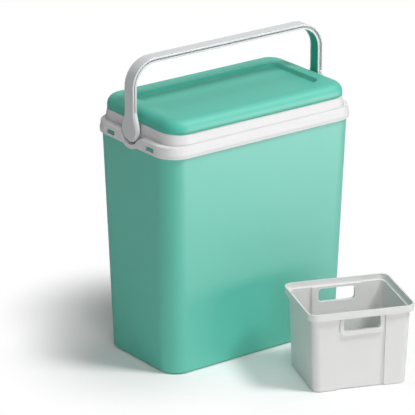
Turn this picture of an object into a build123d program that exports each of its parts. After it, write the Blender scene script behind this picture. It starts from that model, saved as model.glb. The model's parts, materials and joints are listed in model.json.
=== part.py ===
from build123d import *
from math import acos, atan2, cos, degrees, hypot, pi, sin, sqrt
import os

# A rigid insulated vaccine carrier: a two-walled box with a lift-off lid, a bail handle that swings
# over the lid, ice packs that stand at both ends of the cavity and the basket that goes between them.
# Millimetres, +Z up, +X along the long side, -Y the front. The origin is the middle of the underside.
# A plan is (length, width, corner radius) of a rounded rectangle.

# ---- outer shell ----
FOOT_PLAN = (358.4, 187.5, 33.5)  # at the floor
RIM_Z = 380.0
SPREAD = 10.8  # how far each wall has moved out at RIM_Z
SHELL_WALL = 2.5
FOOT_BEVEL = 3.5
SHOULDER_Z = 384.0  # the collar seats on this step
TONGUE_TOP = 396.0
TONGUE_INSET = 2.8
FOOT_RING = 18.0  # width of the ring that the box stands on
FOOT_POCKET_DEPTH = 3.0
FOOT_POCKETS = (3, 2)
FOOT_RIB = 10.0
CAVITY_FLOOR = FOOT_POCKET_DEPTH + SHELL_WALL

# ---- liner and foam ----
LINER_OFFSET = -22.0  # inner face of the liner, measured in from the shell's outer face
LINER_WALL = 2.0
LINER_FLOOR = 28.0
LINER_TOP = 396.5
LINER_FLANGE_OFFSET = -14.0
LINER_FLOOR_BEVEL = 5.0
FOAM_GAP = 0.1

# ---- rim collar ----
COLLAR_BOTTOM = 380.5
COLLAR_GAP = 0.4
COLLAR_CROWN = ((380.5, 4.1), (386.5, 4.3), (394.0, 2.6), (400.5, 0.2))  # z, offset
APRON_PLAN = (388.8, 210.2, 36.0)  # upright ends, which run out in the corners
LEDGE_Z = 400.5
RIM_TOP_PLAN = (367.0, 210.6, 33.5)
RIM_TOP_Z = 402.0
RIM_PLATE = LINER_TOP  # underside of the plate that bridges shell and liner
APRON_EDGE = 1.2
TONGUE_CLEARANCE = 0.5
WINDOW_Y = 54.0
WINDOW_SIZE = (25.0, 7.5)
WINDOW_BOTTOM = 385.0
LUG_SIZE = (22.0, 5.5)
LUG_REACH = 4.6

# ---- handle pivots ----
PIVOT_Z = 408.0
PIN_RADIUS = 4.5
PIN_HEAD_RADIUS = 5.8
PIN_HEAD_LENGTH = 3.0
PIN_END_X = 190.2
BORE_RADIUS = 4.57
BORE_END_X = 190.6
EAR_FACE_X = 183.5
EAR_THICK = 6.0
EAR_RADIUS = 10.0
EAR_FOOT = 28.0
CRADLE_RADIUS = 33.0
CRADLE_CORE = 28.0
POCKET_RADIUS = 25.5
POCKET_BLEND = 30.0  # radius that leads from the pocket out to the collar's top

# ---- handle ----
BAIL_OUTSIDE = (195.0, 523.5, 46.0)  # half-span, top height and bend radius
BAND = (0.0, 2.4, 24.0)  # a layer's first and last depth under the outside, and its width
WEB = (2.4, 5.8, 14.0)
FLANGE = (5.8, 8.8, 21.0)
BAND_EDGE = 1.0
BOSS_PLATE = 6.0
BOSS_RADIUS = 21.5
INNER_BOSS_RADIUS = 18.5
PAD_DEPTH = 11.0
PAD_RADIUS = 14.0
BOSS_FLARE_Z = 437.0
BOSS_BEVEL = 2.8
STRIP_WIDTH = 17.0
STRIP_THICK = 1.6
STRIP_SINK = 0.2
STRIP_FOOT_Z = 432.0
STRIP_GAP = 0.1

# ---- lid ----
LID_SEAT = 402.3
SKIRT_FOOT_PLAN = (366.0, 210.8, 33.0)
SKIRT_SLOPES = (-0.06, -0.216)  # of the ends and of the long sides
SKIRT_TOP = 419.0
SKIRT_WALL = 2.5
CAP_PLAN = (362.0, 207.0, 33.0)
CAP_TOP = 441.0
CAP_WALL = 2.5
CAP_HOLLOW_BEVEL = 12.0
CAP_EDGE = 17.0
ROLL_STEPS = 3
RECESS_PLAN = (292.0, 124.0, 16.0)  # at its floor
RECESS_FLOOR = 433.0
RECESS_SLOPE = 0.49  # run out per millimetre of height
RECESS_BEVEL = 1.6
RECESS_LIP_BEVEL = 1.4
PLUG_BOTTOM = 377.0
PLUG_GAP = 2.5
PLUG_WALL = 3.0
PAN_SEAT = LID_SEAT + SKIRT_WALL
PAN_FLANGE_PLAN = (342.0, 190.0, 26.0)
PAN_FLANGE = 2.0
GASKET = (397.0, 400.0)
GASKET_LIP_GAP = 0.37
GASKET_FIT = 0.05
NICHE_X = 173.5
NICHE_HALF_WIDTH = 16.0
NICHE_ROOF = 418.4
NICHE_WALL = 2.0

# ---- ice packs ----
PACK_SIZE = (26.0, 120.0, 173.0)
PACK_EDGE = 5.0
PACK_PANEL = (84.0, 112.0, 10.0)
PACK_PANEL_DEPTH = 1.5
PACK_X = (144.0, 117.0)
PACK_FLOOR = LINER_FLOOR + 0.4
NECK_Y = 34.0
NECK_RADIUS = 9.0
NECK_HEIGHT = 9.0
PLUG_CAP_RADIUS = 12.0
PLUG_CAP_BORE = 9.6
PLUG_CAP_FOOT = 0.6
PLUG_CAP_HEIGHT = 12.0
PLUG_CAP_DEPTH = 9.5
PLUG_CAP_SIDES = 12
PLUG_CAP_GRIP = (18.0, 4.0, 4.5)

# ---- basket ----
BASKET_PLACE = (65.0, -249.6)
BASKET_YAW = -20.8
BASKET_FOOT_PLAN = (158.6, 129.6, 12.5)
BASKET_SPREAD = 5.0  # how far each wall has moved out at the ledge
BASKET_RIM_PLAN = (181.2, 149.0, 16.0)
BASKET_LEDGE_Z = 128.0
BASKET_HEIGHT = 139.6
BASKET_WALL = 2.5
BASKET_FOOT_BEVEL = 2.0
PANEL_HALF_WIDTH = 40.0
PANEL_SETBACK = 3.0
HAND_HOLE = (63.0, 23.0, 6.0)
HAND_HOLE_Z = 115.5
HAND_FRAME = (75.0, 31.0, 9.0)
HAND_FRAME_Z = 112.6

SIDES = (-1, 1)


def prism(plan, z_low, z_high):
    """Upright block of one plan."""
    return Pos(0, 0, z_low) * extrude(RectangleRounded(*plan), z_high - z_low)


def grown(plan, offset):
    """Plan moved out by offset, or in if it is negative."""
    length, width, corner = plan
    return length + 2 * offset, width + 2 * offset, max(corner + offset, 2.0)


def leaning(plan, z_low, z_high, end_slope, side_slope):
    """Block whose ends and long sides lean out by the slopes and whose corners keep one radius."""
    length, width, corner = plan
    height = z_high - z_low
    end, side = end_slope * height, side_slope * height
    block = Rot(90, 0, 0) * Wedge(length, height, width, -end, -side, length + end, width + side)
    block = Pos(0, 0, (z_low + z_high) / 2) * block
    corners = [edge for edge in block.edges() if abs(edge.center().Z - block.center().Z) < height / 4]
    return fillet(corners, corner)


def flared(plan, z_low, z_high, spread):
    """Rounded block that widens by the spread on every side as it rises."""
    taper = -degrees(atan2(spread, z_high - z_low))
    return Pos(0, 0, z_low) * extrude(RectangleRounded(*plan), z_high - z_low, taper=taper)


def rolled_edge(plan, z_low, z_top, radius):
    """Rounded block whose top edge rolls over in short tapered steps."""
    block = prism(plan, z_low, z_top - radius)
    turns = [quarter * pi / (2 * ROLL_STEPS) for quarter in range(ROLL_STEPS + 1)]
    profile = [(radius * (1 - cos(turn)), z_top - radius * (1 - sin(turn))) for turn in turns]
    for (low_in, low_z), (high_in, high_z) in zip(profile, profile[1:]):
        block += flared(grown(plan, -low_in), low_z, high_z, low_in - high_in)
    return block


def octagon(length, width, corner):
    """Rectangle with its corners cut off."""
    return chamfer(Rectangle(length, width).vertices(), corner)


def shell_plan(z, offset=0.0):
    """Plan of the drafted shell at a height, moved out by offset."""
    length, width, corner = FOOT_PLAN
    spread = offset + SPREAD * z / RIM_Z
    return length + 2 * spread, width + 2 * spread, corner + offset


def drafted(z_low, z_high, offset=0.0):
    """Block that follows the shell's draft between two heights."""
    slope = SPREAD / RIM_Z
    return leaning(shell_plan(z_low, offset), z_low, z_high, slope, slope)


def bevelled_foot(block, size):
    """Chamfer round the lowest edges of a block."""
    return chamfer(block.edges().group_by(Axis.Z)[0], size)


def span_box(x, y, z):
    """Box from low and high limits on each axis."""
    size = [high - low for low, high in (x, y, z)]
    middle = [(high + low) / 2 for low, high in (x, y, z)]
    return Pos(*middle) * Box(*size)


def both_ends(piece):
    """The piece and its mirror image at the other end of the box."""
    return piece + mirror(piece, Plane.YZ)


def cross_disc(radius, x_low, x_high, y=0.0, z=PIVOT_Z):
    """Round block along X."""
    return Pos((x_low + x_high) / 2, y, z) * Rot(0, 90, 0) * Cylinder(radius, x_high - x_low)


def cross_plate(outline, x_low, x_high):
    """Plate whose outline is drawn in Y and Z, between two places along X."""
    return Pos(x_low, 0, 0) * extrude(Plane.YZ * outline, x_high - x_low)


def foot_pockets():
    """Shallow pockets in the underside, with ribs between them."""
    columns, rows = FOOT_POCKETS
    length = (FOOT_PLAN[0] - 2 * FOOT_RING - (columns - 1) * FOOT_RIB) / columns
    width = (FOOT_PLAN[1] - 2 * FOOT_RING - (rows - 1) * FOOT_RIB) / rows
    pocket = extrude(octagon(length, width, FOOT_RIB), FOOT_POCKET_DEPTH)
    places = GridLocations(length + FOOT_RIB, width + FOOT_RIB, columns, rows)
    return [place * pocket for place in places]


def snap_lugs():
    """Catches on the shell's tongue that show in the collar's windows."""
    width, height = LUG_SIZE
    face_x = shell_plan(WINDOW_BOTTOM, -TONGUE_INSET)[0] / 2
    ramp = Polyline(
        (face_x - SHELL_WALL / 2, 0), (face_x + LUG_REACH, 0), (face_x, height), close=False
    )
    wedge = extrude(Plane.XZ * make_face(ramp + Line(ramp @ 1, ramp @ 0)), width / 2, both=True)
    base = WINDOW_BOTTOM + (WINDOW_SIZE[1] - height) / 2
    return [both_ends(Pos(0, y, base) * wedge) for y in (-WINDOW_Y, WINDOW_Y)]


def outer_shell():
    """Moulded outer box with a foot ring, a tongue for the collar and notches for the pivots."""
    body = bevelled_foot(drafted(0, SHOULDER_Z), FOOT_BEVEL)
    body += drafted(SHOULDER_Z, TONGUE_TOP, -TONGUE_INSET)
    step = SHOULDER_Z - SHELL_WALL
    body -= drafted(CAVITY_FLOOR, step, -SHELL_WALL)
    body -= drafted(step, TONGUE_TOP, -TONGUE_INSET - SHELL_WALL)
    body -= foot_pockets()
    for lugs in snap_lugs():
        body += lugs
    return body - both_ends(cross_disc(CRADLE_CORE + FOAM_GAP, EAR_FACE_X - 2 * EAR_THICK, 200))


def inner_liner():
    """Food-safe tub that holds the packs and the basket."""
    outer = drafted(LINER_FLOOR - LINER_WALL, LINER_TOP, LINER_OFFSET + LINER_WALL)
    inner = drafted(LINER_FLOOR, LINER_TOP, LINER_OFFSET)
    flange_z = LINER_TOP - LINER_WALL
    flange = prism(shell_plan(flange_z, LINER_FLANGE_OFFSET), flange_z, LINER_TOP)
    return outer + flange - bevelled_foot(inner, LINER_FLOOR_BEVEL)


def body_insulation():
    """Foam that fills the gap between shell and liner."""
    step = SHOULDER_Z - SHELL_WALL
    top = LINER_TOP - LINER_WALL
    foam = drafted(CAVITY_FLOOR, step, -SHELL_WALL - FOAM_GAP)
    foam += drafted(step, top, -TONGUE_INSET - SHELL_WALL - FOAM_GAP)
    liner_foot = LINER_FLOOR - LINER_WALL
    foam -= drafted(liner_foot - FOAM_GAP, top, LINER_OFFSET + LINER_WALL + FOAM_GAP)
    ear_back = EAR_FACE_X - EAR_THICK - 1
    return foam - both_ends(cross_disc(CRADLE_CORE + 1, ear_back, 200))


def pocket_outline():
    """Round seat for the handle's boss that blends out on both sides, so that the arm can lie down."""
    blend_z = RIM_TOP_Z - POCKET_BLEND
    rise = PIVOT_Z - blend_z
    blend_y = sqrt((POCKET_RADIUS + POCKET_BLEND) ** 2 - rise**2)
    turn = degrees(atan2(rise, blend_y))
    right = CenterArc((blend_y, blend_z), POCKET_BLEND, 90, 90 - turn)
    left = mirror(right, Plane.YZ)
    top = RIM_TOP_Z + 1
    mouth = Polyline(left @ 0, (-blend_y, top), (blend_y, top), right @ 0)
    mouth += [right, Line(right @ 1, left @ 1), left]
    return Pos(0, PIVOT_Z) * Circle(POCKET_RADIUS) + make_face(mouth)


def ear_outline():
    """Upright ear that carries the pivot pin."""
    half = EAR_FOOT / 2
    foot = Polyline((-half, RIM_PLATE), (half, RIM_PLATE), (EAR_RADIUS, PIVOT_Z),
                    (-EAR_RADIUS, PIVOT_Z), (-half, RIM_PLATE))
    return Pos(0, PIVOT_Z) * Circle(EAR_RADIUS) + make_face(foot)


def pivot_cradle():
    """Cup at one end that the handle's boss turns in."""
    ear_back = EAR_FACE_X - EAR_THICK
    wall_x = shell_plan(RIM_Z)[0] / 2 + COLLAR_GAP
    cradle = cross_disc(CRADLE_CORE, ear_back, wall_x) + cross_disc(
        CRADLE_RADIUS, wall_x, APRON_PLAN[0] / 2
    )
    cradle -= span_box((ear_back - 1, 200), (-50, 50), (LEDGE_Z, PIVOT_Z + 50))
    return cradle


def collar_crown():
    """Swelling band that runs all round the collar, in short tapered steps."""
    crown = []
    for (z_low, low), (z_high, high) in zip(COLLAR_CROWN, COLLAR_CROWN[1:]):
        spread = high - low + SPREAD * (z_high - z_low) / RIM_Z
        crown.append(flared(shell_plan(z_low, low), z_low, z_high, spread))
    return crown[0] + crown[1:]


def rim_collar():
    """Collar that joins shell and liner, with apron, windows, cradles and pivot ears."""
    apron = prism(APRON_PLAN, COLLAR_BOTTOM, LEDGE_Z)
    apron = chamfer(apron.edges().group_by(Axis.Z)[-1], APRON_EDGE)
    collar = collar_crown() + apron + prism(RIM_TOP_PLAN, LEDGE_Z - 1, RIM_TOP_Z)
    collar -= drafted(COLLAR_BOTTOM - 1, SHOULDER_Z, COLLAR_GAP)
    collar -= drafted(SHOULDER_Z, RIM_PLATE, -TONGUE_INSET + TONGUE_CLEARANCE)
    collar -= prism(shell_plan(RIM_PLATE, LINER_OFFSET), RIM_PLATE - 1, RIM_TOP_Z + 1)
    collar += both_ends(pivot_cradle())
    width, height = WINDOW_SIZE
    for y in (-WINDOW_Y, WINDOW_Y):
        window = Pos(0, y, WINDOW_BOTTOM + height / 2) * Box(20, width, height)
        collar -= both_ends(Pos(APRON_PLAN[0] / 2, 0, 0) * window)
    collar -= both_ends(cross_plate(pocket_outline(), EAR_FACE_X, 200))
    ear = cross_plate(ear_outline(), EAR_FACE_X - EAR_THICK, EAR_FACE_X)
    ear -= cross_disc(PIN_RADIUS, EAR_FACE_X - 20, EAR_FACE_X + 20)
    return collar + both_ends(ear)


def pivot_pin(side):
    """Headed pin pressed through the collar's ear into the handle's boss."""
    ear_back = EAR_FACE_X - EAR_THICK
    pin = cross_disc(PIN_RADIUS, ear_back - 1, PIN_END_X)
    head = Pos(0, PIVOT_Z) * RegularPolygon(PIN_HEAD_RADIUS, 6)
    pin += cross_plate(head, ear_back - PIN_HEAD_LENGTH, ear_back)
    return pin if side > 0 else mirror(pin, Plane.YZ)


def top_rim(block):
    """Edges round the top of a block."""
    return block.edges().group_by(Axis.Z)[-1]


def recess_block(offset):
    """Tray in the top of the lid, or the room that its walls need."""
    plan = grown(RECESS_PLAN, offset)
    return leaning(plan, RECESS_FLOOR - offset, CAP_TOP + 1, RECESS_SLOPE, RECESS_SLOPE)


def lid_hollow():
    """Room inside the lid cap, under its top and round its tray."""
    block = prism(grown(CAP_PLAN, -CAP_WALL), SKIRT_TOP, CAP_TOP - CAP_WALL)
    return chamfer(top_rim(block), CAP_HOLLOW_BEVEL) - recess_block(CAP_WALL)


def lid_cap():
    """Top moulding of the lid with its shallow tray."""
    block = rolled_edge(CAP_PLAN, SKIRT_TOP, CAP_TOP, CAP_EDGE)
    cap = block - bevelled_foot(recess_block(0), RECESS_BEVEL)
    lip = cap.faces().sort_by(Axis.Z)[-1].inner_wires()[0].edges()
    return chamfer(lip, RECESS_LIP_BEVEL) - lid_hollow()


def niche(wall):
    """Room in the skirt for the pivot ear and pin head, or its walled outside."""
    half = NICHE_HALF_WIDTH + wall
    return both_ends(span_box(
        (NICHE_X - wall, 200), (-half, half), (LID_SEAT - 1, NICHE_ROOF + wall)
    ))


def skirt_plan(z, offset=0.0):
    """Plan of the skirt at a height, moved out by offset."""
    length, width, corner = SKIRT_FOOT_PLAN
    end, side = (offset + slope * (z - LID_SEAT) for slope in SKIRT_SLOPES)
    return length + 2 * end, width + 2 * side, corner + offset


def lid_skirt():
    """White ring under the cap that closes on the collar."""
    outline = leaning(skirt_plan(LID_SEAT), LID_SEAT, SKIRT_TOP, *SKIRT_SLOPES)
    skirt = outline - leaning(skirt_plan(PAN_SEAT, -SKIRT_WALL), PAN_SEAT, SKIRT_TOP, *SKIRT_SLOPES)
    skirt -= prism(grown(plug_plan(LID_SEAT), 0.4), LID_SEAT - 1, PAN_SEAT + 1)
    return skirt + (outline & niche(NICHE_WALL)) - niche(0)


def plug_plan(z):
    """Plan of the plug that enters the box's mouth."""
    return shell_plan(z, LINER_OFFSET - PLUG_GAP)


def plug_block(offset, floor, top):
    """Block that follows the plug's outer face, moved in by offset."""
    return drafted(floor, top, LINER_OFFSET - PLUG_GAP + offset)


def lid_gasket():
    """Seal bonded round the plug near the mouth."""
    low, high = GASKET
    outer = prism(shell_plan(RIM_PLATE, LINER_OFFSET - GASKET_LIP_GAP), low, high)
    return outer - plug_block(GASKET_FIT, low, high)


def lid_inner_pan():
    """Underside of the lid: a plug with a flange that seats in the skirt."""
    pan = bevelled_foot(plug_block(0, PLUG_BOTTOM, PAN_SEAT), PLUG_WALL / 2)
    pan += prism(PAN_FLANGE_PLAN, PAN_SEAT, PAN_SEAT + PAN_FLANGE)
    pan -= plug_block(-PLUG_WALL, PLUG_BOTTOM + PLUG_WALL, PAN_SEAT + PAN_FLANGE)
    return pan


def lid_insulation():
    """Foam that fills the lid between its cap and its inner pan."""
    pan_top = PAN_SEAT + PAN_FLANGE
    foam = plug_block(-PLUG_WALL - FOAM_GAP, PLUG_BOTTOM + PLUG_WALL, pan_top)
    foam += prism(skirt_plan(SKIRT_TOP, -SKIRT_WALL - 1), pan_top, SKIRT_TOP)
    foam += prism(grown(CAP_PLAN, -CAP_EDGE), SKIRT_TOP, RECESS_FLOOR - CAP_WALL - FOAM_GAP)
    return foam - niche(NICHE_WALL + FOAM_GAP)


def bail_outline(depth):
    """Upright frame outline from the pivots over the top, at a depth under the handle's outside."""
    half_span, top, bend = (size - depth for size in BAIL_OUTSIDE)
    outline = Pos(0, (PIVOT_Z + top) / 2) * Rectangle(2 * half_span, top - PIVOT_Z)
    return fillet(outline.vertices().group_by(Axis.Y)[-1], bend)


def bail_layer(first, last, width):
    """Bent layer of the handle between two depths."""
    frame = bail_outline(first) - bail_outline(last)
    return extrude(Plane.XZ * frame, width / 2, both=True)


def boss(radius, half_arm, x_low, x_high, bevel=0.0):
    """Round end of an arm that widens from the arm's own width, bevelled on its outer face."""
    reach = BOSS_FLARE_Z - PIVOT_Z
    turn = atan2(reach, half_arm) - acos(radius / hypot(half_arm, reach))
    touch_y, touch_z = radius * cos(turn), PIVOT_Z + radius * sin(turn)
    flare = Polyline((-half_arm, BOSS_FLARE_Z), (half_arm, BOSS_FLARE_Z), (touch_y, touch_z),
                     (-touch_y, touch_z), (-half_arm, BOSS_FLARE_Z))
    disc = cross_disc(radius, x_low, x_high)
    neck = cross_plate(make_face(flare), x_low, x_high)
    if bevel:
        disc = chamfer(disc.faces().sort_by(Axis.X)[-1].edges(), bevel)
        sides = neck.faces().sort_by(Axis.X)[-1].edges().filter_by(Axis.Y, reverse=True)
        neck = chamfer(sides, bevel)
    return disc + neck


def outer_band():
    """Outermost layer of the handle, bevelled along its two outer edges."""
    first, last, width = BAND
    block = extrude(Plane.XZ * bail_outline(first), width / 2, both=True)
    rims = [
        edge for edge in block.edges()
        if abs(edge.center().Y) > width / 2 - 0.01 and edge.center().Z > PIVOT_Z + 1
    ]
    return chamfer(rims, BAND_EDGE) - extrude(Plane.XZ * bail_outline(last), width, both=True)


def handle_bail():
    """Handle with grooved sides, and a boss with a bearing pad and a blind bore at each foot."""
    outer_x = BAIL_OUTSIDE[0]
    plate_x, flange_x, pad_x = outer_x - BOSS_PLATE, outer_x - FLANGE[1], outer_x - PAD_DEPTH
    plate = boss(BOSS_RADIUS, BAND[2] / 2, plate_x, outer_x, BOSS_BEVEL)
    plate += boss(INNER_BOSS_RADIUS, FLANGE[2] / 2, flange_x, plate_x)
    plate += cross_disc(PAD_RADIUS, pad_x, flange_x)
    bail = outer_band() + bail_layer(*WEB) + bail_layer(*FLANGE) + both_ends(plate)
    bail -= both_ends(cross_disc(BORE_RADIUS, pad_x - 1, BORE_END_X))
    return bail - strip_band(STRIP_GAP)


def strip_band(gap):
    """Strip let into the inner face of the handle, or the groove for it."""
    face = FLANGE[1] - STRIP_SINK if gap == 0 else FLANGE[1] + 0.5
    back = FLANGE[1] - STRIP_SINK - STRIP_THICK - gap
    strip = bail_layer(back, face, STRIP_WIDTH + 2 * gap)
    return strip - span_box((-200, 200), (-20, 20), (PIVOT_Z - 5, STRIP_FOOT_Z - gap))


def ice_pack(side, column):
    """Flat bottle that stands on the liner's floor, with panels in its faces and a filler neck."""
    thick, width, height = PACK_SIZE
    body = chamfer(Box(thick, width, height).edges(), PACK_EDGE)
    panel = cross_plate(octagon(*PACK_PANEL), 0, PACK_PANEL_DEPTH)
    body -= Pos(thick / 2 - PACK_PANEL_DEPTH, 0, 0) * panel
    body -= Pos(-thick / 2, 0, 0) * panel
    body += Pos(0, NECK_Y, height / 2 + NECK_HEIGHT / 2 - 1) * Cylinder(NECK_RADIUS, NECK_HEIGHT + 2)
    return Pos(side * PACK_X[column], 0, PACK_FLOOR + height / 2) * body


def ice_pack_plug(side, column):
    """Twelve-sided screw plug over the filler neck, with a bar to turn it by."""
    plug = extrude(RegularPolygon(PLUG_CAP_RADIUS, PLUG_CAP_SIDES), PLUG_CAP_HEIGHT)
    bore = RegularPolygon(PLUG_CAP_BORE, PLUG_CAP_SIDES, major_radius=False)
    plug -= extrude(bore, PLUG_CAP_DEPTH)
    length, width, height = PLUG_CAP_GRIP
    plug += Pos(0, 0, PLUG_CAP_HEIGHT + height / 2) * Box(width, length, height)
    top = PACK_FLOOR + PACK_SIZE[2]
    return Pos(side * PACK_X[column], NECK_Y, top + PLUG_CAP_FOOT) * plug


def basket_plan(z, offset=0.0):
    """Plan of the basket's drafted walls at a height, moved out by offset."""
    length, width, corner = BASKET_FOOT_PLAN
    spread = offset + BASKET_SPREAD * z / BASKET_LEDGE_Z
    return length + 2 * spread, width + 2 * spread, corner + offset


def basket_block(offset, z_low, z_high):
    """Drafted basket block whose front and back are set in over the middle panel."""
    slope = BASKET_SPREAD / BASKET_LEDGE_Z
    length, width, corner = basket_plan(z_low, offset)
    full = leaning((length, width, corner), z_low, z_high, slope, slope)
    narrow = leaning((length, width - 2 * PANEL_SETBACK, corner), z_low, z_high, slope, slope)
    half = PANEL_HALF_WIDTH - offset
    middle = span_box((-half, half), (-width, width), (z_low - 1, z_high + 1))
    return (full - middle) + (narrow & middle)


def hand_hole_frame(side):
    """Raised surround of a hand-hole on the front or back panel."""
    width, height, corner = HAND_FRAME
    reach = basket_plan(HAND_HOLE_Z)[1] / 2
    frame = extrude(Plane.XZ * RectangleRounded(width, height, corner), PANEL_SETBACK + BASKET_WALL)
    frame = Pos(0, reach, HAND_FRAME_Z) * frame
    return frame if side > 0 else mirror(frame, Plane.XZ)


def vial_basket():
    """Open basket with a stepped front and back, two hand-holes and a stacking rim."""
    ledge_top = BASKET_LEDGE_Z + BASKET_WALL
    basket = bevelled_foot(basket_block(0, 0, BASKET_LEDGE_Z), BASKET_FOOT_BEVEL)
    for side in SIDES:
        basket += hand_hole_frame(side)
    basket += prism(BASKET_RIM_PLAN, BASKET_LEDGE_Z, BASKET_HEIGHT)
    basket -= prism(grown(BASKET_RIM_PLAN, -BASKET_WALL), ledge_top, BASKET_HEIGHT + 1)
    basket -= basket_block(-BASKET_WALL, BASKET_WALL, ledge_top + 1)
    width, height, corner = HAND_HOLE
    hole = extrude(Plane.XZ * RectangleRounded(width, height, corner), BASKET_RIM_PLAN[1], both=True)
    basket -= Pos(0, 0, HAND_HOLE_Z) * hole
    return Pos(*BASKET_PLACE, 0) * Rot(0, 0, BASKET_YAW) * basket


def all_parts():
    """Every node's name and its solid."""
    parts = {
        "outer_shell": outer_shell(),
        "body_insulation": body_insulation(),
        "inner_liner": inner_liner(),
        "rim_collar": rim_collar(),
        "left_pivot_pin": pivot_pin(-1),
        "right_pivot_pin": pivot_pin(1),
        "lid_cap": lid_cap(),
        "lid_skirt": lid_skirt(),
        "lid_insulation": lid_insulation(),
        "lid_inner_pan": lid_inner_pan(),
        "lid_gasket": lid_gasket(),
        "handle_bail": handle_bail(),
        "handle_inner_strip": strip_band(0),
        "vial_basket": vial_basket(),
    }
    stands = [(side, column) for side in SIDES for column in range(len(PACK_X))]
    for number, (side, column) in enumerate(stands, start=1):
        parts[f"ice_pack_{number}"] = ice_pack(side, column)
        parts[f"ice_pack_plug_{number}"] = ice_pack_plug(side, column)
    return parts


os.makedirs("parts", exist_ok=True)
for name, part in all_parts().items():
    export_step(part, f"parts/{name}.step")
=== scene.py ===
"""Insulated vaccine carrier: finishes, fine mesh work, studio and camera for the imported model."""

from __future__ import annotations

import json
import logging
import math
from dataclasses import dataclass
from enum import Enum
from functools import cache
from typing import Any, ClassVar, Iterable, Sequence

import bmesh
import bpy
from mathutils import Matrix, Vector

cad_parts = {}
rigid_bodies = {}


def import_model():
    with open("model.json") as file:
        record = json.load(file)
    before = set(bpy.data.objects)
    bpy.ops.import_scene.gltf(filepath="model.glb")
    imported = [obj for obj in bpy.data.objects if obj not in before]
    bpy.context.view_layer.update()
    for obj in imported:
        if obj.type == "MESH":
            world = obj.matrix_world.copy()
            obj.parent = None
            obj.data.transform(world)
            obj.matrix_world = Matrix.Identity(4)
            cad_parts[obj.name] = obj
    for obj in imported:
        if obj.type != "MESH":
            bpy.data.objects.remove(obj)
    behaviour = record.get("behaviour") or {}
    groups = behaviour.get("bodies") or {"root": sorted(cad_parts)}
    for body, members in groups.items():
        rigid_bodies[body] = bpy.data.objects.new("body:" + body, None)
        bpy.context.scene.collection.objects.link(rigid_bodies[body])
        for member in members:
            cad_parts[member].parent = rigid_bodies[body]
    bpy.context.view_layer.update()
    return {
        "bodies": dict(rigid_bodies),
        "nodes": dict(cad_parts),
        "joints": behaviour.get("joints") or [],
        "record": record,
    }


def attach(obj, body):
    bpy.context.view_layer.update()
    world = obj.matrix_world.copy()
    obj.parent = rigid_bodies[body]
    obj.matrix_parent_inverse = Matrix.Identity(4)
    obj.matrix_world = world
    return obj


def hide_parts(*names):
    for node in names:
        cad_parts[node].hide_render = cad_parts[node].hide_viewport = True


LOG = logging.getLogger("vaccine_carrier")
MM = 0.001

Triple = tuple[float, float, float]
Colour = tuple[float, float, float]
Plan = tuple[float, float, float]


# ---------------------------------------------------------------------------
# Shader bench
# ---------------------------------------------------------------------------


class Signal:
    """A node's output, used as a number in an expression."""

    def __init__(self, bench: "Bench", socket: bpy.types.NodeSocket) -> None:
        """Wraps a socket.

        Args:
            bench: the bench whose tree holds the node.
            socket: the output that carries the value.
        """
        self.bench = bench
        self.socket = socket

    def _math(self, operation: str, *terms: "Signal | float") -> "Signal":
        """Adds a Math node.

        Args:
            operation: the node's operation.
            terms: its inputs, in order.

        Returns:
            The node's result.
        """
        return self.bench.make("ShaderNodeMath", {"operation": operation}, dict(enumerate(terms)))

    def __add__(self, other: "Signal | float") -> "Signal":
        """Sum."""
        return self._math("ADD", self, other)

    __radd__ = __add__

    def __sub__(self, other: "Signal | float") -> "Signal":
        """Difference."""
        return self._math("SUBTRACT", self, other)

    def __rsub__(self, other: float) -> "Signal":
        """Difference, from a plain number."""
        return self._math("SUBTRACT", other, self)

    def __mul__(self, other: "Signal | float") -> "Signal":
        """Product."""
        return self._math("MULTIPLY", self, other)

    __rmul__ = __mul__

    def clamped(self) -> "Signal":
        """The value held between 0 and 1."""
        return self._math("MINIMUM", self._math("MAXIMUM", self, 0.0), 1.0)

    def ramp(self, low: float, high: float) -> "Signal":
        """Smooth rise from 0 at low to 1 at high.

        Args:
            low: value at which the rise starts.
            high: value at which it ends.

        Returns:
            The eased value.
        """
        return self.bench.make(
            "ShaderNodeMapRange",
            {"interpolation_type": "SMOOTHSTEP"},
            {"Value": self, "From Min": low, "From Max": high},
        )


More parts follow.
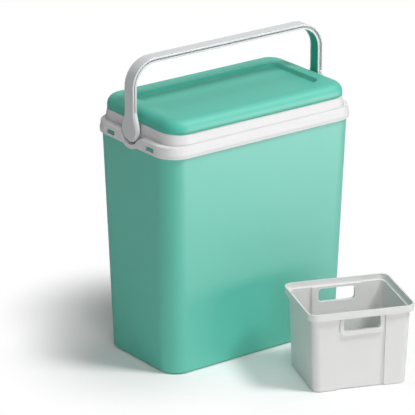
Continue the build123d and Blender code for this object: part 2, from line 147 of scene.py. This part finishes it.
class Bench:
    """Builds one material's or world's node tree."""

    def __init__(self, tree: bpy.types.NodeTree) -> None:
        """Empties the tree.

        Args:
            tree: the tree to build in.
        """
        self.tree = tree
        tree.nodes.clear()

    def make(
        self,
        kind: str,
        settings: dict[str, Any] | None = None,
        sockets: dict[str | int, Any] | None = None,
        output: str | int = 0,
    ) -> Signal:
        """Adds a node.

        Args:
            kind: the node's type.
            settings: its properties, set before its sockets.
            sockets: values or signals for its inputs, by name or number.
            output: the output to return.

        Returns:
            The chosen output.
        """
        node = self.tree.nodes.new(kind)
        for name, value in (settings or {}).items():
            setattr(node, name, value)
        for key, value in (sockets or {}).items():
            target = node.inputs[key]
            if isinstance(value, Signal):
                self.tree.links.new(value.socket, target)
            else:
                target.default_value = value
        return Signal(self, node.outputs[output])

    def place(self) -> Signal:
        """Coordinates in metres on the object."""
        return self.make("ShaderNodeTexCoord", output="Object")

    def noise(self, place: Signal, scale: float, detail: float = 2.0) -> Signal:
        """A noise value.

        Args:
            place: texture coordinates.
            scale: features per unit of the coordinates.
            detail: octaves.

        Returns:
            The noise, about 0.5 on average.
        """
        return self.make(
            "ShaderNodeTexNoise", {}, {"Vector": place, "Scale": scale, "Detail": detail}
        )

    def blend(self, low: Any, high: Any, share: Signal | float) -> Signal:
        """Mixes two colours.

        Args:
            low: colour at share 0.
            high: colour at share 1.
            share: how much of the second colour shows.

        Returns:
            The mixed colour.
        """
        return self.make(
            "ShaderNodeMix", {"data_type": "RGBA"}, {0: share, 6: low, 7: high}, output=2
        )

    def relief(self, height: Signal, strength: float) -> Signal:
        """A normal that follows a height.

        Args:
            height: the height in metres.
            strength: how much of it shows.

        Returns:
            The bent normal.
        """
        return self.make(
            "ShaderNodeBump", {}, {"Height": height, "Strength": strength, "Distance": 1.0}
        )

    def finish(self, shader: Signal, kind: str = "ShaderNodeOutputMaterial") -> None:
        """Joins a shader to the tree's output.

        Args:
            shader: the last shader.
            kind: the output node's type.
        """
        node = self.tree.nodes.new(kind)
        self.tree.links.new(shader.socket, node.inputs["Surface"])


def rgba(colour: Colour) -> tuple[float, float, float, float]:
    """A colour as a socket takes it."""
    return (*colour, 1.0)


def shaded(colour: Colour, factor: float) -> Colour:
    """A colour made darker or paler, at most white."""
    return tuple(min(part * factor, 1.0) for part in colour)


def from_hex(code: str) -> Colour:
    """Linear colour from a display code.

    Args:
        code: six hexadecimal digits.

    Returns:
        The colour in linear light.
    """
    parts = [int(code[place : place + 2], 16) / 255 for place in (0, 2, 4)]
    return tuple(v / 12.92 if v <= 0.04045 else ((v + 0.055) / 1.055) ** 2.4 for v in parts)


# ---------------------------------------------------------------------------
# Finishes
# ---------------------------------------------------------------------------


@dataclass(frozen=True)
class Finish:
    """A named surface finish."""

    name: str

    @cache
    def material(self) -> bpy.types.Material:
        """The finish as a material, made once."""
        material = bpy.data.materials.new(self.name)
        material.use_nodes = True
        bench = Bench(material.node_tree)
        bench.finish(self.shader(bench))
        return material

    def shader(self, bench: Bench) -> Signal:
        """The finish's shader, given by each kind of finish."""
        raise NotImplementedError


@dataclass(frozen=True)
class MouldedPlastic(Finish):
    """Injection-moulded plastic with a spark-eroded grain, flow marks, scuffs and rubbed edges.

    Scales are in features per metre, depths and radii in metres, shares from 0 to 1.
    """

    FLOW_SCALE: ClassVar[float] = 7.0
    CLOUD_SCALE: ClassVar[float] = 55.0
    CHIP_SCALE: ClassVar[float] = 160.0
    PATCH_SCALE: ClassVar[float] = 14.0
    CLOUD_DEPTH: ClassVar[float] = 0.00003
    SCUFF_DEPTH: ClassVar[float] = 0.00002
    SCUFF_PALING: ClassVar[float] = 0.06
    SCUFF_ROUGHENING: ClassVar[float] = 0.12
    EDGE_POLISH: ClassVar[float] = 0.08
    CHIP_FLOOR: ClassVar[float] = 0.35
    RELIEF: ClassVar[float] = 0.6
    SCATTER_DEPTH: ClassVar[float] = 0.004
    DUST_COLOUR: ClassVar[Colour] = (0.86, 0.85, 0.82)
    # turn about Z in radians, and the squeeze of the noise along each axis
    SCUFF_RUNS: ClassVar[tuple[tuple[float, Triple], ...]] = (
        (0.5, (22.0, 900.0, 160.0)),
        (-0.9, (260.0, 24.0, 1100.0)),
    )

    colour: Colour = (0.5, 0.5, 0.5)
    rubbed: Colour = (0.8, 0.8, 0.8)
    roughness: float = 0.42
    roughness_swing: float = 0.08
    mottle: float = 0.06
    grain_size: float = 0.0009
    grain_depth: float = 0.00004
    scuffs: float = 0.35
    edge_radius: float = 0.0016
    edge_wear: float = 0.35
    dust: float = 0.03
    specular: float = 0.5
    scatter: float = 0.0

    def shader(self, bench: Bench) -> Signal:
        """Builds the plastic.

        Args:
            bench: the bench to build on.

        Returns:
            The shader.
        """
        place = bench.place()
        flow = bench.noise(place, self.FLOW_SCALE, 3.0)
        cloud = bench.noise(place, self.CLOUD_SCALE)
        grain = bench.noise(place, 1 / self.grain_size, 1.0)
        scuff = self._scuff(bench, place)
        edge = self._edge(bench, place)
        rough = self.roughness + self.roughness_swing * (flow + cloud - 1.0)
        rough = rough + scuff * self.SCUFF_ROUGHENING - edge * self.EDGE_POLISH
        height = grain * self.grain_depth - scuff * self.SCUFF_DEPTH + cloud * self.CLOUD_DEPTH
        return bench.make(
            "ShaderNodeBsdfPrincipled",
            {},
            {
                "Base Color": self._paint(bench, flow, cloud, scuff, edge),
                "Roughness": rough.clamped(),
                "Normal": bench.relief(height, self.RELIEF),
                "Specular IOR Level": self.specular,
                "Subsurface Weight": self.scatter,
                "Subsurface Scale": self.SCATTER_DEPTH,
            },
        )

    def _paint(
        self, bench: Bench, flow: Signal, cloud: Signal, scuff: Signal, edge: Signal
    ) -> Signal:
        """Colour with its mottle, paler where it is rubbed, and dusted.

        Args:
            bench: the bench to build on.
            flow: broad noise of the melt's flow.
            cloud: finer noise.
            scuff: mask of the rub marks.
            edge: mask of the rubbed edges.

        Returns:
            The colour.
        """
        broad, fine = 4.0 * self.mottle, 2.0 * self.mottle
        tone = (0.5 + broad * (flow - 0.5) + fine * (cloud - 0.5)).clamped()
        deep = shaded(self.colour, 1 - self.mottle)
        pale = shaded(self.colour, 1 + self.mottle)
        rub = (edge * self.edge_wear + scuff * self.SCUFF_PALING).clamped()
        base = bench.blend(rgba(deep), rgba(pale), tone)
        base = bench.blend(base, rgba(self.rubbed), rub)
        return bench.blend(base, rgba(self.DUST_COLOUR), self._dust(bench, cloud) * self.dust)

    def _scuff(self, bench: Bench, place: Signal) -> Signal:
        """Fine rub marks that run in two directions.

        Args:
            bench: the bench to build on.
            place: texture coordinates.

        Returns:
            1 inside a mark, 0 elsewhere.
        """
        lines = []
        for turn, squeeze in self.SCUFF_RUNS:
            warped = bench.make(
                "ShaderNodeMapping",
                {},
                {"Vector": place, "Rotation": (turn, 0.4 * turn, turn), "Scale": squeeze},
            )
            lines.append(bench.noise(warped, 1.0, 1.0).ramp(0.66, 0.74))
        first, second = lines
        patch = bench.noise(place, self.PATCH_SCALE).ramp(0.5, 0.68)
        return (first + second).clamped() * patch * self.scuffs

    def _edge(self, bench: Bench, place: Signal) -> Signal:
        """Mask of the outer edges that hands and floors rub.

        Args:
            bench: the bench to build on.
            place: texture coordinates.

        Returns:
            1 on a worn edge, 0 away from edges.
        """
        rounded = bench.make("ShaderNodeBevel", {"samples": 4}, {"Radius": self.edge_radius})
        true = bench.make("ShaderNodeNewGeometry", output="Normal")
        agree = bench.make(
            "ShaderNodeVectorMath", {"operation": "DOT_PRODUCT"}, {0: rounded, 1: true}, output=1
        )
        chips = bench.noise(place, self.CHIP_SCALE)
        return (1.0 - agree).ramp(0.01, 0.2) * (self.CHIP_FLOOR + (1 - self.CHIP_FLOOR) * chips)

    @staticmethod
    def _dust(bench: Bench, cloud: Signal) -> Signal:
        """Thin film on the faces that look up.

        Args:
            bench: the bench to build on.
            cloud: a noise that breaks the film up.

        Returns:
            How much of the film shows.
        """
        true = bench.make("ShaderNodeNewGeometry", output="Normal")
        rise = bench.make("ShaderNodeSeparateXYZ", {}, {"Vector": true}, output="Z")
        return rise.ramp(0.55, 1.0) * (0.4 + 0.6 * cloud)


@dataclass(frozen=True)
class FoamCore(Finish):
    """Cut polyurethane foam with fine cells."""

    colour: Colour = (0.86, 0.78, 0.58)
    cell: float = 0.0012
    cell_depth: float = 0.0004
    age_scale: float = 9.0

    def shader(self, bench: Bench) -> Signal:
        """Builds the foam.

        Args:
            bench: the bench to build on.

        Returns:
            The shader.
        """
        place = bench.place()
        cells = bench.make("ShaderNodeTexVoronoi", {}, {"Vector": place, "Scale": 1 / self.cell})
        age = bench.noise(place, self.age_scale, 4.0)
        dark = rgba(shaded(self.colour, 0.78))
        return bench.make(
            "ShaderNodeBsdfPrincipled",
            {},
            {
                "Base Color": bench.blend(
                    dark, rgba(self.colour), (age * 0.6 + cells * 0.5).clamped()
                ),
                "Roughness": 0.86 + age * 0.1,
                "Normal": bench.relief(cells * self.cell_depth, 0.8),
            },
        )


@dataclass(frozen=True)
class SealRubber(Finish):
    """Soft grey silicone seal with a faint bloom."""

    colour: Colour = (0.2, 0.2, 0.2)
    bloom_scale: float = 70.0
    skin_scale: float = 1500.0
    skin_depth: float = 0.00003

    def shader(self, bench: Bench) -> Signal:
        """Builds the rubber.

        Args:
            bench: the bench to build on.

        Returns:
            The shader.
        """
        place = bench.place()
        bloom = bench.noise(place, self.bloom_scale, 4.0)
        rind = bench.noise(place, self.skin_scale)
        pale = rgba(shaded(self.colour, 1.5))
        return bench.make(
            "ShaderNodeBsdfPrincipled",
            {},
            {
                "Base Color": bench.blend(rgba(self.colour), pale, bloom),
                "Roughness": 0.55 + bloom * 0.2,
                "Normal": bench.relief(rind * self.skin_depth, 0.6),
                "Sheen Weight": 0.1,
            },
        )


@dataclass(frozen=True)
class TurnedSteel(Finish):
    """Machined stainless pin with turning marks."""

    colour: Colour = (0.62, 0.61, 0.59)
    marks: Triple = (9000.0, 60.0, 60.0)
    mark_depth: float = 0.00001

    def shader(self, bench: Bench) -> Signal:
        """Builds the steel.

        Args:
            bench: the bench to build on.

        Returns:
            The shader.
        """
        squeezed = bench.make(
            "ShaderNodeMapping", {}, {"Vector": bench.place(), "Scale": self.marks}
        )
        lines = bench.noise(squeezed, 1.0)
        dark = rgba(shaded(self.colour, 0.8))
        return bench.make(
            "ShaderNodeBsdfPrincipled",
            {},
            {
                "Base Color": bench.blend(dark, rgba(self.colour), lines),
                "Roughness": 0.22 + lines * 0.2,
                "Metallic": 1.0,
                "Normal": bench.relief(lines * self.mark_depth, 0.7),
            },
        )


RUBBED_TEAL = from_hex("8fd2c6")
FINE_GRAIN = 0.00001


class Dress(Enum):
    """The finishes that the carrier wears."""

    SHELL = MouldedPlastic(
        "shell_moulding", colour=(0.075, 0.46, 0.355), rubbed=RUBBED_TEAL, roughness=0.5,
        specular=1.0, edge_wear=0.2,
    )
    LID = MouldedPlastic(
        "lid_moulding", colour=(0.045, 0.41, 0.31), rubbed=RUBBED_TEAL, roughness=0.55,
        grain_depth=FINE_GRAIN, specular=0.8, edge_wear=0.15,
    )
    COLLAR = MouldedPlastic(
        "collar_moulding", colour=from_hex("d9d9d9"), rubbed=from_hex("fafafa"), roughness=0.45,
        mottle=0.02, edge_wear=0.1, specular=0.15,
    )
    HANDLE = MouldedPlastic(
        "handle_moulding", colour=from_hex("cdd0d1"), rubbed=from_hex("eeeeee"), roughness=0.38,
        mottle=0.02, specular=0.35,
    )
    STRIP = MouldedPlastic(
        "strip_moulding", colour=(0.035, 0.4, 0.29), rubbed=RUBBED_TEAL, roughness=0.5,
        mottle=0.03, specular=0.3,
    )
    LINER = MouldedPlastic(
        "liner_moulding", colour=from_hex("e9ebea"), rubbed=from_hex("f6f6f6"), roughness=0.3,
        mottle=0.02, grain_depth=FINE_GRAIN,
    )
    BASKET = MouldedPlastic(
        "basket_moulding", colour=from_hex("dadad9"), rubbed=from_hex("f4f4f4"), roughness=0.42,
        mottle=0.02, specular=0.3,
    )
    PACK = MouldedPlastic(
        "ice_pack_moulding", colour=from_hex("5a93c4"), rubbed=from_hex("a9c9e4"), roughness=0.35,
        mottle=0.08, scatter=0.25,
    )
    PLUG = MouldedPlastic(
        "pack_plug_moulding", colour=from_hex("e6e8ea"), rubbed=from_hex("fafafa"), roughness=0.35,
        mottle=0.02,
    )
    FOAM = FoamCore("foam_core")
    SEAL = SealRubber("seal_rubber", colour=from_hex("8b8f90"))
    STEEL = TurnedSteel("turned_pin")


# ---------------------------------------------------------------------------
# Mesh helpers
# ---------------------------------------------------------------------------

WELD_REACH = 1e-6
FLAT_ANGLE = math.radians(0.8)
SHARP_ANGLE = math.radians(28.0)
NORMAL_WEIGHT = 80
CORNER_STEPS = 8


def soften(thing: bpy.types.Object, width: float, merge: bool) -> None:
    """Rounds a moulding's edges and smooths what curves.

    Args:
        thing: the object.
        width: width of the rounding in metres.
        merge: whether the triangles of a flat face become one face first.
    """
    weld = thing.modifiers.new("join_facets", "WELD")
    weld.merge_threshold = WELD_REACH
    if merge:
        flat = thing.modifiers.new("flat_faces", "DECIMATE")
        flat.decimate_type = "DISSOLVE"
        flat.angle_limit = FLAT_ANGLE
    bevel = thing.modifiers.new("soft_edges", "BEVEL")
    bevel.width = width
    bevel.segments = 2
    bevel.limit_method = "ANGLE"
    bevel.angle_limit = SHARP_ANGLE
    bevel.use_clamp_overlap = True
    normals = thing.modifiers.new("even_normals", "WEIGHTED_NORMAL")
    normals.keep_sharp = True
    normals.weight = NORMAL_WEIGHT


def dress(
    frame: dict[str, Any], node: str, wear: Dress, width: float = 0.0, merge: bool = True
) -> None:
    """Gives a node of the frame its finish and soft edges.

    Args:
        frame: the loaded frame.
        node: the node's name.
        wear: its finish.
        width: width of its edge rounding in metres, or 0 for none.
        merge: whether its flat faces are joined up before the rounding.
    """
    thing = frame["nodes"][node]
    mesh = thing.data
    material = wear.value.material()
    if not mesh.materials:
        mesh.materials.append(material)
    for slot in range(len(mesh.materials)):
        mesh.materials[slot] = material
    if width:
        soften(thing, width, merge)
    LOG.info("dressed %s in %s", node, wear.value.name)


def ring(plan: Plan, z: float) -> list[Vector]:
    """Points round a rounded rectangle.

    Args:
        plan: length, width and corner radius in millimetres.
        z: height in millimetres.

    Returns:
        The points in metres, anticlockwise from the +X side.
    """
    length, width, corner = plan
    points = []
    for quarter, (sx, sy) in enumerate(((1, 1), (-1, 1), (-1, -1), (1, -1))):
        for step in range(CORNER_STEPS + 1):
            turn = math.pi / 2 * (quarter + step / CORNER_STEPS)
            x = sx * (length / 2 - corner) + corner * math.cos(turn)
            y = sy * (width / 2 - corner) + corner * math.sin(turn)
            points.append(Vector((x, y, z)) * MM)
    return points


def inset(plan: Plan, amount: float) -> Plan:
    """A plan moved in by an amount, with the corner following."""
    length, width, corner = plan
    return length - 2 * amount, width - 2 * amount, max(corner - amount, 0.5)


def skin(name: str, rings: Sequence[Sequence[Vector]]) -> bpy.types.Object:
    """Closed mesh through a row of rings.

    Args:
        name: the new object's name.
        rings: rings with the same number of points; the first and last are capped.

    Returns:
        The object, linked to the scene.
    """
    shape = bmesh.new()
    rows = [[shape.verts.new(point) for point in points] for points in rings]
    for low, high in zip(rows, rows[1:]):
        for here in range(len(low)):
            there = (here + 1) % len(low)
            shape.faces.new((low[here], low[there], high[there], high[here]))
    shape.faces.new(list(reversed(rows[0])))
    shape.faces.new(rows[-1])
    bmesh.ops.recalc_face_normals(shape, faces=shape.faces)
    mesh = bpy.data.meshes.new(name)
    shape.to_mesh(mesh)
    shape.free()
    for face in mesh.polygons:
        face.use_smooth = True
    thing = bpy.data.objects.new(name, mesh)
    bpy.context.scene.collection.objects.link(thing)
    return thing


# ---------------------------------------------------------------------------
# Studio
# ---------------------------------------------------------------------------


def point(thing: bpy.types.Object, place: Vector, way: Vector) -> None:
    """Links an object to the scene, at a place and looking along a way."""
    thing.location = place
    thing.rotation_mode = "QUATERNION"
    thing.rotation_quaternion = way.to_track_quat("-Z", "Y")
    bpy.context.scene.collection.objects.link(thing)


@dataclass(frozen=True)
class Lamp:
    """A soft rectangular lamp that looks at the carrier.

    towards leads from the carrier to the lamp. Lengths are in metres and the power in watts; a
    lamp with no height of its own is square. Gloss and matt surfaces can each be left out.
    """

    name: str
    towards: Triple
    away: float
    side: float
    power: float
    tall: float = 0.0
    glossy: bool = True
    diffuse: bool = True

    def place(self, aim: Triple) -> None:
        """Adds the lamp to the scene.

        Args:
            aim: the point that the lamp looks at.
        """
        data = bpy.data.lights.new(self.name, "AREA")
        data.shape = "RECTANGLE"
        data.size = self.side
        data.size_y = self.tall or self.side
        data.energy = self.power
        thing = bpy.data.objects.new(self.name, data)
        way = Vector(self.towards).normalized()
        point(thing, Vector(aim) + way * self.away, -way)
        thing.visible_glossy = self.glossy
        thing.visible_diffuse = self.diffuse
        thing.visible_camera = False


@dataclass(frozen=True)
class Shade:
    """Round patch of the floor on which shadows stay, with the radii of its faded border."""

    x: float
    y: float
    near: float
    gone: float

    def outside(self, bench: Bench, place: Signal) -> Signal:
        """How far a spot of the floor lies outside the patch.

        Args:
            bench: the bench to build on.
            place: coordinates on the floor.

        Returns:
            0 inside the patch, 1 outside.
        """
        away = bench.make(
            "ShaderNodeVectorMath",
            {"operation": "DISTANCE"},
            {0: place, 1: (self.x, self.y, 0.0)},
            output=1,
        )
        return away.ramp(self.near, self.gone)


@dataclass
class Studio:
    """Camera, lamps, world and floor."""

    eye: Triple = (-3.0136, -3.9852, 2.0869)
    look: Triple = (0.56098, 0.75097, -0.34835)
    lens: float = 277.5
    sensor: float = 36.0
    sight: float = 100.0
    aim: Triple = (0.02, -0.06, 0.22)
    lamps: tuple[Lamp, ...] = (
        Lamp("key", (0.32, -0.5, 0.8), 4.0, 0.9, 112.0),
        Lamp("top", (0.0, 0.0, 1.0), 4.0, 2.0, 34.0),
        Lamp("fill", (-0.45, -0.8, 0.35), 4.0, 2.5, 61.0, glossy=False),
        Lamp("sheen", (0.56, -0.77, 0.0), 1.9, 1.9, 38.0, tall=0.36, diffuse=False),
    )
    ambient: float = 0.08
    white: Colour = (1.0, 1.0, 1.0)
    floor_paint: Colour = (0.86, 0.86, 0.86)
    floor_lift: float = 0.03
    floor_reach: float = 40.0
    floor_drop: float = 0.0002
    shades: tuple[Shade, ...] = (
        Shade(-0.06, 0.17, 0.04, 0.26),
        Shade(-0.16, 0.0, 0.07, 0.26),
        Shade(0.03, -0.2, 0.08, 0.24),
    )

    def camera(self) -> None:
        """Places the camera."""
        data = bpy.data.cameras.new("camera")
        data.lens = self.lens
        data.sensor_width = self.sensor
        data.clip_end = self.sight
        thing = bpy.data.objects.new("camera", data)
        point(thing, Vector(self.eye), Vector(self.look))
        bpy.context.scene.camera = thing

    def world(self) -> None:
        """White to the eye and to gloss, dimmer as a light."""
        world = bpy.data.worlds.new("studio_world")
        world.use_nodes = True
        bpy.context.scene.world = world
        bench = Bench(world.node_tree)
        eye, gloss, glass = (
            bench.make("ShaderNodeLightPath", output=f"Is {ray} Ray")
            for ray in ("Camera", "Glossy", "Transmission")
        )
        seen = (eye + gloss + glass).clamped()
        strength = seen * (1.0 - self.ambient) + self.ambient
        back = bench.make(
            "ShaderNodeBackground", {}, {"Color": rgba(self.white), "Strength": strength}
        )
        bench.finish(back, "ShaderNodeOutputWorld")

    def floor(self) -> None:
        """Pale floor that keeps the carrier's shadow and fades to white."""
        reach = self.floor_reach
        mesh = bpy.data.meshes.new("studio_floor")
        corners = [(-reach, -reach, 0), (reach, -reach, 0), (reach, reach, 0), (-reach, reach, 0)]
        mesh.from_pydata(corners, [], [(0, 1, 2, 3)])
        mesh.materials.append(self._floor_material())
        thing = bpy.data.objects.new("studio_floor", mesh)
        thing.location.z = -self.floor_drop
        bpy.context.scene.collection.objects.link(thing)

    def _floor_material(self) -> bpy.types.Material:
        """Matt paint near the carrier, plain white to the eye farther out."""
        material = bpy.data.materials.new("studio_floor")
        material.use_nodes = True
        bench = Bench(material.node_tree)
        place = bench.place()
        seen = bench.make("ShaderNodeLightPath", output="Is Camera Ray")
        far = seen
        for shade in self.shades:
            far = far * shade.outside(bench, place)
        paint = bench.make("ShaderNodeBsdfDiffuse", {}, {"Color": rgba(self.floor_paint)})
        lift = bench.make("ShaderNodeEmission", {}, {"Strength": seen * self.floor_lift})
        glow = bench.make("ShaderNodeEmission", {}, {"Color": rgba(self.white), "Strength": 1.0})
        near = bench.make("ShaderNodeAddShader", {}, {0: paint, 1: lift})
        bench.finish(bench.make("ShaderNodeMixShader", {}, {0: far, 1: near, 2: glow}))
        return material

    def build(self) -> None:
        """Sets the whole studio up."""
        self.camera()
        self.world()
        for lamp in self.lamps:
            lamp.place(self.aim)
        self.floor()
        bpy.context.scene.view_settings.view_transform = "Standard"


# ---------------------------------------------------------------------------
# Sub-assemblies
# ---------------------------------------------------------------------------


@dataclass
class Box:
    """Shell, foam, liner, collar and pivot pins."""

    frame: dict[str, Any]
    edge: float = 0.6 * MM
    pin_edge: float = 0.2 * MM

    def build(self) -> None:
        """Dresses the box."""
        dress(self.frame, "outer_shell", Dress.SHELL, self.edge)
        dress(self.frame, "body_insulation", Dress.FOAM)
        dress(self.frame, "inner_liner", Dress.LINER, self.edge)
        dress(self.frame, "rim_collar", Dress.COLLAR, self.edge)
        for side in ("left", "right"):
            dress(self.frame, f"{side}_pivot_pin", Dress.STEEL, self.pin_edge)


@dataclass
class Lid:
    """Cap, skirt, foam, pan and seal. The cap's sizes are in millimetres."""

    frame: dict[str, Any]
    cap_plan: Plan = (362.0, 207.0, 33.0)
    foot: float = 419.0
    top: float = 441.0
    roll: float = 17.0
    wall: float = 2.5
    tray_plan: Plan = (292.0, 124.0, 16.0)
    tray_floor: float = 433.0
    tray_slope: float = 0.49
    tray_blend: float = 3.5
    lip_blend: float = 2.6
    hollow_bevel: float = 12.0
    steps: int = 10
    skirt_edge: float = 0.25 * MM
    pan_edge: float = 0.8 * MM
    seal_edge: float = 0.4 * MM

    def _arc(self, radius: float, start: float, stop: float) -> Iterable[tuple[float, float]]:
        """Cosine and sine offsets along an arc.

        Args:
            radius: the arc's radius.
            start: first angle in degrees.
            stop: last angle in degrees.

        Yields:
            The offsets at even steps.
        """
        for step in range(self.steps + 1):
            turn = math.radians(start + (stop - start) * step / self.steps)
            yield radius * math.cos(turn), radius * math.sin(turn)

    def _tray(self) -> list[list[Vector]]:
        """Rings from the tray's floor up its wall and over its lip."""
        lean = math.degrees(math.atan2(1.0, self.tray_slope))
        reach = math.tan(math.radians(lean) / 2)
        run = self.tray_slope * (self.top - self.tray_floor)
        blend, lip = self.tray_blend, self.lip_blend
        rings = []
        for across, up in self._arc(blend, -90.0, -90.0 + lean):
            plan = inset(self.tray_plan, blend * reach - across)
            rings.append(ring(plan, self.tray_floor + blend + up))
        for across, up in self._arc(lip, 90.0 + lean, 90.0):
            plan = inset(self.tray_plan, -(run + lip * reach + across))
            rings.append(ring(plan, self.top - lip + up))
        return rings

    def _flank(self) -> list[list[Vector]]:
        """Rings over the rolled edge and down to the foot."""
        rings = []
        for across, up in self._arc(self.roll, 90.0, 0.0):
            plan = inset(self.cap_plan, self.roll - across)
            rings.append(ring(plan, self.top - self.roll + up))
        rings.append(ring(self.cap_plan, self.foot))
        return rings

    def _hollow(self) -> list[list[Vector]]:
        """Rings up inside the cap and down round the tray."""
        inside = inset(self.cap_plan, self.wall)
        ceiling = self.top - self.wall
        low = self.tray_floor - self.wall
        well = inset(self.tray_plan, -self.wall)
        return [
            ring(inside, self.foot),
            ring(inside, ceiling - self.hollow_bevel),
            ring(inset(inside, self.hollow_bevel), ceiling),
            ring(inset(well, -self.tray_slope * (ceiling - low)), ceiling),
            ring(well, low),
        ]

    def cap(self) -> bpy.types.Object:
        """Top moulding with its rolled edge and its soft tray."""
        piece = skin("lid_cap_moulding", self._tray() + self._flank() + self._hollow())
        normals = piece.modifiers.new("even_normals", "WEIGHTED_NORMAL")
        normals.keep_sharp = True
        piece.data.materials.append(Dress.LID.value.material())
        LOG.info("made %s in %s", piece.name, Dress.LID.value.name)
        return piece

    def build(self) -> None:
        """Dresses the lid."""
        cap = self.cap()
        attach(cap, "lid")
        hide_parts("lid_cap")
        dress(self.frame, "lid_cap", Dress.LID)
        dress(self.frame, "lid_skirt", Dress.COLLAR, self.skirt_edge, merge=False)
        dress(self.frame, "lid_insulation", Dress.FOAM)
        dress(self.frame, "lid_inner_pan", Dress.LINER, self.pan_edge)
        dress(self.frame, "lid_gasket", Dress.SEAL, self.seal_edge)


@dataclass
class Handle:
    """Bail and the strip let into it."""

    frame: dict[str, Any]
    bail_edge: float = 0.5 * MM
    strip_edge: float = 0.3 * MM

    def build(self) -> None:
        """Dresses the handle."""
        dress(self.frame, "handle_bail", Dress.HANDLE, self.bail_edge)
        dress(self.frame, "handle_inner_strip", Dress.STRIP, self.strip_edge)


@dataclass
class IcePacks:
    """Four refillable packs and their plugs."""

    frame: dict[str, Any]
    count: int = 4
    pack_edge: float = 1.6 * MM
    plug_edge: float = 0.5 * MM

    def build(self) -> None:
        """Dresses the packs."""
        for number in range(1, self.count + 1):
            dress(self.frame, f"ice_pack_{number}", Dress.PACK, self.pack_edge)
            dress(self.frame, f"ice_pack_plug_{number}", Dress.PLUG, self.plug_edge)


@dataclass
class Basket:
    """Insert basket that stands beside the carrier."""

    frame: dict[str, Any]
    edge: float = 0.6 * MM

    def build(self) -> None:
        """Dresses the basket."""
        dress(self.frame, "vial_basket", Dress.BASKET, self.edge)


def main() -> None:
    """Builds the studio and dresses the carrier."""
    logging.basicConfig(level=logging.INFO, format="%(message)s")
    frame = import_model()
    Studio().build()
    for part in (Box, Lid, Handle, IcePacks, Basket):
        part(frame).build()


if __name__ == "__main__":
    main()
